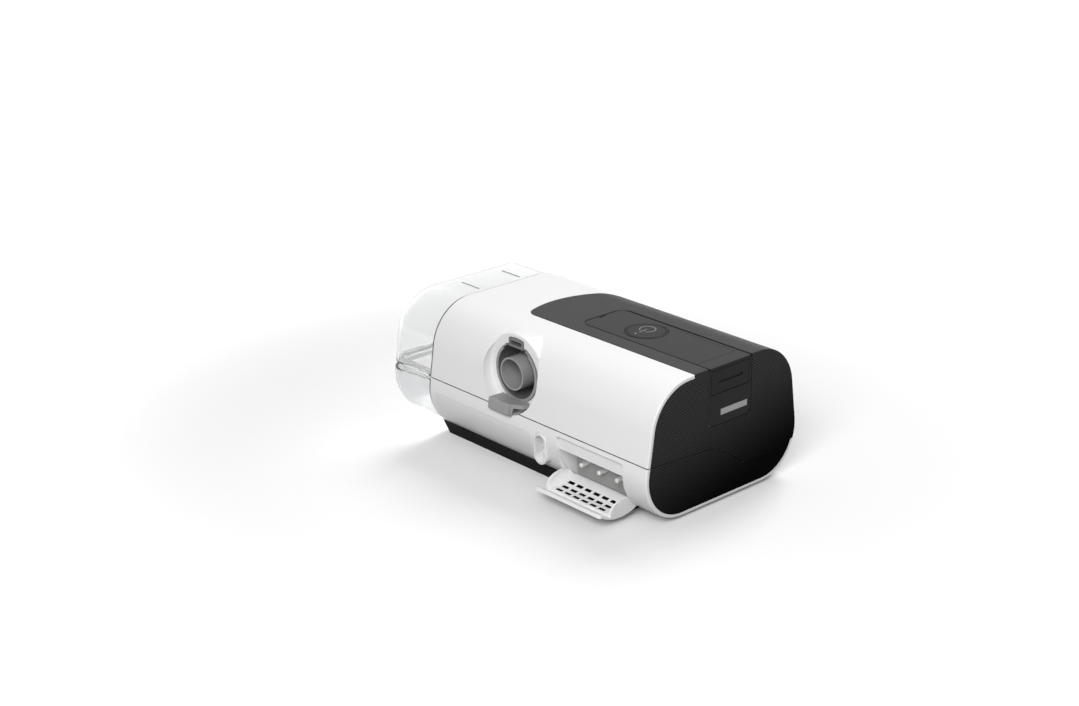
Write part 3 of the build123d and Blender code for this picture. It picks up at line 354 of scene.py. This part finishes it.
def plastic(name, colour, rough=0.4, grain=0.35, depth=0.02, smudge=0.08, tone=0.03, specular=0.5):
    """Moulded plastic with grain, soft smudges and a slight change of tone."""
    material, tree, shader = new_material(name)
    worn = use_group(tree, HANDLING, Amount=smudge, Roughness=rough, Tone=tone)
    tinted = mix_colour(tree, 1.0, colour, worn.outputs["Tone"], "MULTIPLY")
    texture = use_group(tree, GRAIN, Size=grain)
    tree.links.new(tinted, shader.inputs["Base Color"])
    tree.links.new(worn.outputs["Roughness"], shader.inputs["Roughness"])
    tree.links.new(bump(tree, texture.outputs["Height"], depth), shader.inputs["Normal"])
    shader.inputs["Specular IOR Level"].default_value = specular
    return material


def metal(name, colour, rough=0.3):
    """Brushed or ground metal with soft smudges."""
    material, tree, shader = new_material(name)
    shader.inputs["Metallic"].default_value = 1.0
    lines = use_group(tree, BRUSHED, Roughness=rough)
    worn = use_group(tree, HANDLING, Patch=12.0, Tone=0.08)
    tinted = mix_colour(tree, 1.0, colour, worn.outputs["Tone"], "MULTIPLY")
    tree.links.new(tinted, shader.inputs["Base Color"])
    tree.links.new(lines.outputs["Roughness"], shader.inputs["Roughness"])
    tree.links.new(bump(tree, lines.outputs["Height"], 0.01), shader.inputs["Normal"])
    return material


def seal_finish(name, colour):
    """Milky soft silicone that lets light through."""
    material = plastic(name, colour, rough=0.5, grain=0.5, depth=0.01)
    tree, shader = shader_of(material)
    shader.inputs["Transmission Weight"].default_value = 0.75
    shader.inputs["IOR"].default_value = 1.12
    return material


def clear_plastic(name, colour, rough, ior):
    """Clear plastic with faint flow marks and a little haze, deeper in tone at grazing angles."""
    material, tree, shader = new_material(name)
    shader.inputs["Transmission Weight"].default_value = 1.0
    shader.inputs["IOR"].default_value = ior
    worn = use_group(tree, HANDLING, Patch=22.0, Amount=0.04, Roughness=rough, Tone=0.02)
    tinted = mix_colour(tree, 1.0, colour, worn.outputs["Tone"], "MULTIPLY")
    facing = node(tree, "ShaderNodeLayerWeight", Blend=0.2)
    edged = mix_colour(tree, facing.outputs["Facing"], tinted, deeper(colour, 0.72))
    flow = use_group(tree, GRAIN, Size=14.0, Unevenness=0.0)
    tree.links.new(edged, shader.inputs["Base Color"])
    tree.links.new(worn.outputs["Roughness"], shader.inputs["Roughness"])
    tree.links.new(bump(tree, flow.outputs["Height"], 0.12, 0.35), shader.inputs["Normal"])
    return material


def fibre_finish(name, colour, size, depth):
    """Matted fibre or open foam."""
    material = plastic(name, colour, rough=0.9, grain=size, depth=depth, tone=0.2, specular=0.2)
    tree, shader = shader_of(material)
    shader.inputs["Sheen Weight"].default_value = 0.3
    return material


def board_finish(name, colour):
    """Circuit board lacquer with faint copper tracks under it."""
    material = plastic(name, colour, rough=0.35, grain=0.6, depth=0.01)
    tree, shader = shader_of(material)
    tracks = node(tree, "ShaderNodeTexBrick", Scale=0.35, Color1=(0, 0, 0, 1), Color2=(0, 0, 0, 1),
                  Mortar=(1, 1, 1, 1))
    tracks.inputs["Mortar Size"].default_value = 0.02
    tree.links.new(object_axes(tree)[3], tracks.inputs["Vector"])
    paint(tree, tracks.outputs["Fac"], (0.10, 0.30, 0.12))
    return material


# ------------------------------------------------------------------ finishes with marks
def paint(tree, mask, colour, dull=False):
    """Lay a plain colour over the base where the mask is 1, and take the sheen off if dull."""
    shader = tree.nodes["Principled BSDF"]
    base = shader.inputs["Base Color"].links[0].from_socket
    tree.links.new(mix_colour(tree, mask, base, colour), shader.inputs["Base Color"])
    if dull:
        sheen = shader.inputs["Specular IOR Level"]
        left = math_node(tree, "MULTIPLY_ADD", mask, -sheen.default_value, sheen.default_value)
        tree.links.new(left, sheen)


def shell_finish(name, colour):
    """White case plastic, with a painted shadow line in the gap where the two shells meet."""
    material = plastic(name, colour, rough=0.36, depth=0.006, tone=0.015)
    tree = material.node_tree
    y, z = object_axes(tree)[1:3]
    outlet_side = both(tree, near_slope(tree, y, z, *GAP_HIGH), above(tree, y, GAP_OUTLET_SIDE))
    front_side = both(tree, near_slope(tree, y, z, *GAP_LOW), below(tree, y, GAP_FRONT_SIDE))
    # painted shadow: the lips of the gap between the shells are darkened
    paint(tree, either(tree, outlet_side, front_side), (0.05, 0.05, 0.05), dull=True)
    return material


def cover_finish(name, colour):
    """White plastic with painted shade on the walls inside its deep slots."""
    material = plastic(name, colour, rough=0.36, depth=0.006, tone=0.015)
    tree = material.node_tree
    x, y = object_axes(tree)[:2]
    sides = []
    for at, first, pitch, count, size in ((x, *SLOTS_X), (y, *SLOTS_Y)):
        step = math_node(tree, "DIVIDE", math_node(tree, "SUBTRACT", at, first), pitch)
        whole = math_node(tree, "ROUND", step)
        near = below(tree, away_from(tree, step, whole), (0.5 * size + SLOT_SPARE) / pitch)
        sides.append(both(tree, near, between(tree, whole, -0.5, count - 0.5)))
    # painted shade on the walls inside the slots
    paint(tree, both(tree, *sides), (0.006, 0.006, 0.006), dull=True)
    return material


def button_finish(name, colour):
    """Button cap with the common standby sign, an open ring and a bar, and a small lamp."""
    material = plastic(name, colour, grain=0.8, depth=0.004, specular=0.1)
    tree = material.node_tree
    x, y = object_axes(tree)[:2]
    middle_x, middle_y = SIGN_PLACE
    side = away_from(tree, x, middle_x)
    mouth = both(tree, below(tree, side, SIGN_MOUTH), above(tree, y, middle_y))
    ring = both(tree, near_line(tree, reach_from(tree, x, y, SIGN_PLACE), SIGN_RADIUS, SIGN_STROKE),
                math_node(tree, "SUBTRACT", 1.0, mouth))
    bar = both(tree, below(tree, side, SIGN_STROKE),
               between(tree, y, middle_y + SIGN_BAR_START, middle_y + SIGN_RADIUS + SIGN_BAR_PAST))
    lamp = below(tree, reach_from(tree, x, y, LAMP_PLACE), LAMP_RADIUS)
    groove = near_line(tree, reach_from(tree, x, y, BUTTON_PLACE), BUTTON_RING, BUTTON_GROOVE)
    paint(tree, either(tree, ring, bar), (0.20, 0.20, 0.20))
    paint(tree, lamp, (0.34, 0.34, 0.34))
    # painted shade in the ring groove round the button
    paint(tree, groove, LINE_BLACK, dull=True)
    return material


def cup_finish(name, colour):
    """Grey plastic of the outlet, with painted shade inside the cup round the spigot."""
    material = plastic(name, colour, rough=0.42, grain=0.4, depth=0.01)
    tree = material.node_tree
    x, y, z, place = object_axes(tree)
    wide = above(tree, reach_from(tree, x, z, OUTLET_PLACE), CUP_INNER)
    inside = both(tree, wide, below(tree, y, CUP_RIM))
    # painted shade inside the cup, above the flap
    paint(tree, both(tree, inside, above(tree, z, FLAP_TOP)), deeper(colour, CUP_SHADE))
    return material


def plate_finish(name, colour):
    """Smooth dark plate with one plain pale bar."""
    material = plastic(name, colour, rough=0.38, grain=0.5, depth=0.006, specular=0.1)
    tree = material.node_tree
    y, z = object_axes(tree)[1:3]
    paint(tree, both(tree, between(tree, y, *BAR_Y), between(tree, z, *BAR_Z)), (0.42, 0.42, 0.42))
    return material


def panel_finish(name, colour):
    """Smooth satin glass with painted shade along its rim, the thin outline of the display and a tick."""
    material = plastic(name, colour, rough=0.34, grain=0.8, depth=0.004, smudge=0.1, specular=0.1)
    tree = material.node_tree
    x, y = object_axes(tree)[:2]
    far = both(tree, near_line(tree, y, DISPLAY_FAR, DISPLAY_LINE), between(tree, x, *DISPLAY_X))
    end = both(tree, near_line(tree, x, DISPLAY_END, DISPLAY_LINE),
               between(tree, y, DISPLAY_FAR, DISPLAY_NEAR))
    tick = both(tree, between(tree, x, *TICK_X), between(tree, y, *TICK_Y))
    rim = either(tree, above(tree, away_from(tree, y, PANEL_MIDDLE), PANEL_HALF - PANEL_SIDE_RIM),
                 above(tree, x, PANEL_END - PANEL_END_RIM))
    marks = either(tree, either(tree, far, end), either(tree, tick, rim))
    # the rim is painted shade in the gap round the panel; the display outline and the tick are marks on the
    # glass
    paint(tree, marks, LINE_BLACK, dull=True)
    return material


# ------------------------------------------------------------------ fascia and ribbed end
def slanting_ribs(tree, y, z):
    """0 to 1 across the fine ribs that slant over the end of the device."""
    slope = math.radians(RIB_SLOPE)
    along = math_node(tree, "MULTIPLY", y, math.sin(slope))
    across = math_node(tree, "MULTIPLY_ADD", z, -math.cos(slope), along)
    wave = math_node(tree, "SINE", math_node(tree, "MULTIPLY", across, 2 * math.pi / RIB_PITCH))
    return math_node(tree, "MULTIPLY_ADD", wave, 0.5, 0.5)


def end_shade_fade(tree, y, z):
    """Painted shade: the end darkens evenly from its top to its foot, and a little towards the front."""
    height = math_node(tree, "MULTIPLY_ADD", y, END_FADE_SLANT, z)
    return smooth_ramp(tree, height, 2.0, 88.0, 0.05, 1.25)


def end_skin(tree, ribs, y, z, colour):
    """Colour of the ribbed end, with painted shade in the grooves and towards the foot."""
    # painted shade in the grooves between the ribs
    striped = mix_colour(tree, ribs, deeper(colour, RIB_GROOVE_SHADE), colour)
    return mix_colour(tree, end_shade_fade(tree, y, z), END_FOOT, striped)


def end_panel_finish(name, colour):
    """Ribbed black of the lower end."""
    material = plastic(name, colour, rough=0.45, grain=0.3, depth=0.006, specular=END_SHEEN)
    tree, shader = shader_of(material)
    y, z = object_axes(tree)[1:3]
    ribs = slanting_ribs(tree, y, z)
    under = shader.inputs["Normal"].links[0].from_socket
    # painted shade: the sheen fades with the colour towards the foot
    sheen = math_node(tree, "MULTIPLY", end_shade_fade(tree, y, z), END_SHEEN)
    tree.links.new(bump(tree, ribs, 0.12, under=under), shader.inputs["Normal"])
    tree.links.new(end_skin(tree, ribs, y, z, colour), shader.inputs["Base Color"])
    tree.links.new(sheen, shader.inputs["Specular IOR Level"])
    return material


def fascia_finish(name, top_colour, end_colour):
    """Dark skin: tiny raised dots on top with painted shade between them, and slanting ribs on the end face.
    """
    material = plastic(name, top_colour, rough=0.42, grain=0.3, depth=0.015, specular=DECK_SHEEN)
    tree, shader = shader_of(material)
    x, y, z, place = object_axes(tree)
    on_end = below(tree, x, END_FACE)
    on_top = math_node(tree, "SUBTRACT", 1.0, on_end)
    around = math_node(tree, "ADD", y, z)
    waves = [math_node(tree, "SINE", math_node(tree, "MULTIPLY", math_node(tree, kind, x, around), DOT_TURN))
             for kind in ("ADD", "SUBTRACT")]
    dots = math_node(tree, "MULTIPLY_ADD", math_node(tree, "MULTIPLY", *waves), 0.5, 0.5)
    dots_here = both(tree, dots, on_top)
    ribs_here = both(tree, slanting_ribs(tree, y, z), on_end)

    under = shader.inputs["Normal"].links[0].from_socket
    raised = bump(tree, ribs_here, 0.16, under=under)
    raised = bump(tree, dots_here, 0.14, under=raised)
    tree.links.new(raised, shader.inputs["Normal"])

    plain = shader.inputs["Base Color"].links[0].from_socket
    # painted shade in the gaps between the raised dots
    gaps = mix_colour(tree, 1.0, plain, (DOT_GAP_SHADE,) * 3, "MULTIPLY")
    top = mix_colour(tree, dots_here, gaps, plain)
    # painted shadow line along the fascia's straight edge
    top = mix_colour(tree, above(tree, y, DECK_EDGE), top, LINE_BLACK)
    end = end_skin(tree, ribs_here, y, z, end_colour)
    tree.links.new(mix_colour(tree, on_end, top, end), shader.inputs["Base Color"])

    # painted shade: on the end the sheen fades towards the foot
    end_sheen = math_node(tree, "MULTIPLY", end_shade_fade(tree, y, z), END_SHEEN)
    # painted highlight: the raised dots get more sheen than the gaps
    top_sheen = math_node(tree, "MULTIPLY_ADD", dots, 0.7 * DECK_SHEEN, 0.4 * DECK_SHEEN)
    change = math_node(tree, "SUBTRACT", end_sheen, top_sheen)
    tree.links.new(math_node(tree, "MULTIPLY_ADD", on_end, change, top_sheen),
                   shader.inputs["Specular IOR Level"])
    return material


# ------------------------------------------------------------------ a finish for every piece
finishes = {
    "case_white": shell_finish("case_white", CASE_WHITE),
    "fascia_grey": fascia_finish("fascia_grey", (0.063, 0.063, 0.064), END_BLACK),
    "end_black": end_panel_finish("end_black", END_BLACK),
    "panel_black": panel_finish("panel_black", (0.015, 0.015, 0.016)),
    "outlet_grey": cup_finish("outlet_grey", (0.29, 0.29, 0.295)),
    "base_black": plastic("base_black", (0.006, 0.006, 0.007), rough=0.6, grain=0.6, depth=0.03, specular=0.1),
    "clear_plastic": clear_plastic("clear_plastic", (0.962, 0.966, 0.968), rough=0.05, ior=1.33),
    "seal_grey": plastic("seal_grey", (0.72, 0.73, 0.73), rough=0.55, grain=0.5, depth=0.01),
    "rubber_black": plastic("rubber_black", (0.012, 0.012, 0.012), rough=0.75, grain=0.7, depth=0.04),
    # painted shade: the filter fibre is made mid grey for the shade deep in its bay
    "filter_fibre": fibre_finish("filter_fibre", (0.36, 0.36, 0.355), 0.9, 0.3),
    "foam_grey": fibre_finish("foam_grey", (0.08, 0.08, 0.085), 1.4, 0.5),
    "inner_black": plastic("inner_black", (0.02, 0.02, 0.021), rough=0.5),
    "inner_grey": plastic("inner_grey", (0.42, 0.43, 0.44), rough=0.5),
    "board_green": board_finish("board_green", (0.012, 0.09, 0.035)),
    "chip_black": plastic("chip_black", (0.015, 0.015, 0.016), rough=0.5, grain=0.25),
    "steel_plate": metal("steel_plate", (0.60, 0.61, 0.62), rough=0.22),
    "steel_bright": metal("steel_bright", (0.70, 0.70, 0.71), rough=0.12),
    "contact_metal": metal("contact_metal", (0.62, 0.60, 0.56), rough=0.22),
    "alu_plate": metal("alu_plate", (0.72, 0.73, 0.74), rough=0.28),
}

own_finishes = {
    "start_button": button_finish("button_cap", (0.012, 0.012, 0.013)),
    "end_plate": plate_finish("end_plate", (0.0095, 0.0095, 0.010)),
    "card_door": plate_finish("card_door", (0.008, 0.008, 0.0085)),
    "card_socket": plastic("card_socket", (0.05, 0.05, 0.052), rough=0.5, grain=0.4, depth=0.01),
    "filter_cover": cover_finish("filter_cover", CASE_WHITE),
    "water_tub": clear_plastic("tub_plastic", (0.89, 0.895, 0.90), rough=0.12, ior=1.3),
    "tub_seal": seal_finish("tub_seal", (0.90, 0.905, 0.91)),
}


def dress_nodes():
    """Each piece gets its own finish, or else that of its slot; clear pieces cast no shadow."""
    slots = {row["node"]: row["material_slot"] for row in frame["record"]["subparts"]}
    for name, item in frame["nodes"].items():
        item.data.materials.clear()
        item.data.materials.append(own_finishes.get(name, finishes[slots[name]]))
        item.visible_shadow = slots[name] != "clear_plastic"


# ------------------------------------------------------------------ bare rating film
def rating_plate():
    """Bare film bent onto the curved lower skin of the outlet side, with round corners."""
    film = bmesh.new()
    left, right = PLATE_X
    low, high = PLATE_Z
    corners = ((left, low), (left, high), (right, high), (right, low))
    film.faces.new([film.verts.new((x * MM, 0.0, z * MM)) for x, z in corners])
    bmesh.ops.bevel(film, geom=film.verts[:], offset=PLATE_CORNER * MM, offset_type="OFFSET",
                    affect="VERTICES", segments=8, profile=0.5, material=-1)
    for step in range(1, PLATE_BENDS):
        level = low + (high - low) * step / PLATE_BENDS
        bmesh.ops.bisect_plane(film, geom=film.verts[:] + film.edges[:] + film.faces[:], dist=1e-7,
                               plane_co=(0.0, 0.0, level * MM), plane_no=(0.0, 0.0, 1.0))
    for vert in film.verts:
        rise = vert.co.z / MM - SKIN_AXIS[1]
        vert.co.y = (SKIN_AXIS[0] + math.sqrt((SKIN_RADIUS + PLATE_LIFT) ** 2 - rise ** 2)) * MM
    bmesh.ops.solidify(film, geom=film.faces[:], thickness=PLATE_LIFT * MM)
    mesh = bpy.data.meshes.new("rating_plate")
    film.to_mesh(mesh)
    film.free()
    for face in mesh.polygons:
        face.use_smooth = True
    mesh.set_sharp_from_angle(angle=math.radians(40))
    plate = bpy.data.objects.new("rating_plate", mesh)
    bpy.context.scene.collection.objects.link(plate)
    mesh.materials.append(plastic("plate_film", (0.74, 0.74, 0.745), rough=0.34, grain=0.2, depth=0.002))
    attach(plate, "housing")


# ------------------------------------------------------------------ studio
def make_floor():
    """Pale floor that keeps the object's shadow and turns plain white further out."""
    ground = bmesh.new()
    bmesh.ops.create_grid(ground, x_segments=1, y_segments=1, size=6.0)
    mesh = bpy.data.meshes.new("studio_floor")
    ground.to_mesh(mesh)
    ground.free()
    floor = bpy.data.objects.new("studio_floor", mesh)
    bpy.context.scene.collection.objects.link(floor)
    material, tree, shader = new_material("floor_white")
    shader.inputs["Roughness"].default_value = 0.9
    shader.inputs["Specular IOR Level"].default_value = 0.1
    shader.inputs["Emission Color"].default_value = (1, 1, 1, 1)
    seen = seen_plainly(tree)
    tree.links.new(mix_colour(tree, seen, (0.28, 0.28, 0.28), (0.86, 0.86, 0.86)), shader.inputs["Base Color"])
    reach = node(tree, "ShaderNodeVectorMath", operation="LENGTH")
    tree.links.new(object_axes(tree)[3], reach.inputs[0])
    glow = smooth_ramp(tree, reach.outputs["Value"], 220.0, 700.0, 0.02, 1.0)
    tree.links.new(math_node(tree, "MULTIPLY", seen, glow), shader.inputs["Emission Strength"])
    mesh.materials.append(material)


def make_world():
    """White where it is seen, and a dim sky that is a little brighter on the outlet's side."""
    world = bpy.data.worlds.new("studio_world")
    bpy.context.scene.world = world
    world.use_nodes = True
    tree = world.node_tree
    tree.nodes.clear()
    out = tree.nodes.new("ShaderNodeOutputWorld")
    shown = node(tree, "ShaderNodeBackground", Color=(1, 1, 1, 1), Strength=1.0)
    light = node(tree, "ShaderNodeBackground", Color=(1, 1, 1, 1))
    coords = tree.nodes.new("ShaderNodeTexCoord")
    split = tree.nodes.new("ShaderNodeSeparateXYZ")
    tree.links.new(coords.outputs["Generated"], split.inputs[0])
    high = math_node(tree, "MULTIPLY_ADD", split.outputs[2], 0.20, 0.14, clamp=True)
    side = math_node(tree, "MULTIPLY_ADD", split.outputs[1], 0.12, 0.0, clamp=True)
    tree.links.new(math_node(tree, "ADD", high, side), light.inputs["Strength"])
    blend = tree.nodes.new("ShaderNodeMixShader")
    tree.links.new(seen_plainly(tree), blend.inputs[0])
    tree.links.new(light.outputs[0], blend.inputs[1])
    tree.links.new(shown.outputs[0], blend.inputs[2])
    tree.links.new(blend.outputs[0], out.inputs[0])


def soft_light(name, place, aim, size, power):
    data = bpy.data.lights.new(name, "AREA")
    data.shape = "RECTANGLE"
    data.size, data.size_y = size
    data.energy = power
    lamp = bpy.data.objects.new(name, data)
    bpy.context.scene.collection.objects.link(lamp)
    lamp.location = place
    lamp.rotation_mode = "QUATERNION"
    lamp.rotation_quaternion = (Vector(aim) - Vector(place)).to_track_quat("-Z", "Y")


def make_studio():
    make_floor()
    make_world()
    soft_light("overhead_light", (0.15, -0.85, 1.1), (0, 0, 0.04), (0.6, 0.6), 10.6)
    soft_light("outlet_side_light", (-0.70, 0.95, 0.85), (0, 0, 0.05), (0.8, 0.6), 15.5)


make_camera()
dress_nodes()
rating_plate()
make_studio()
bpy.context.scene.view_settings.view_transform = "Standard"
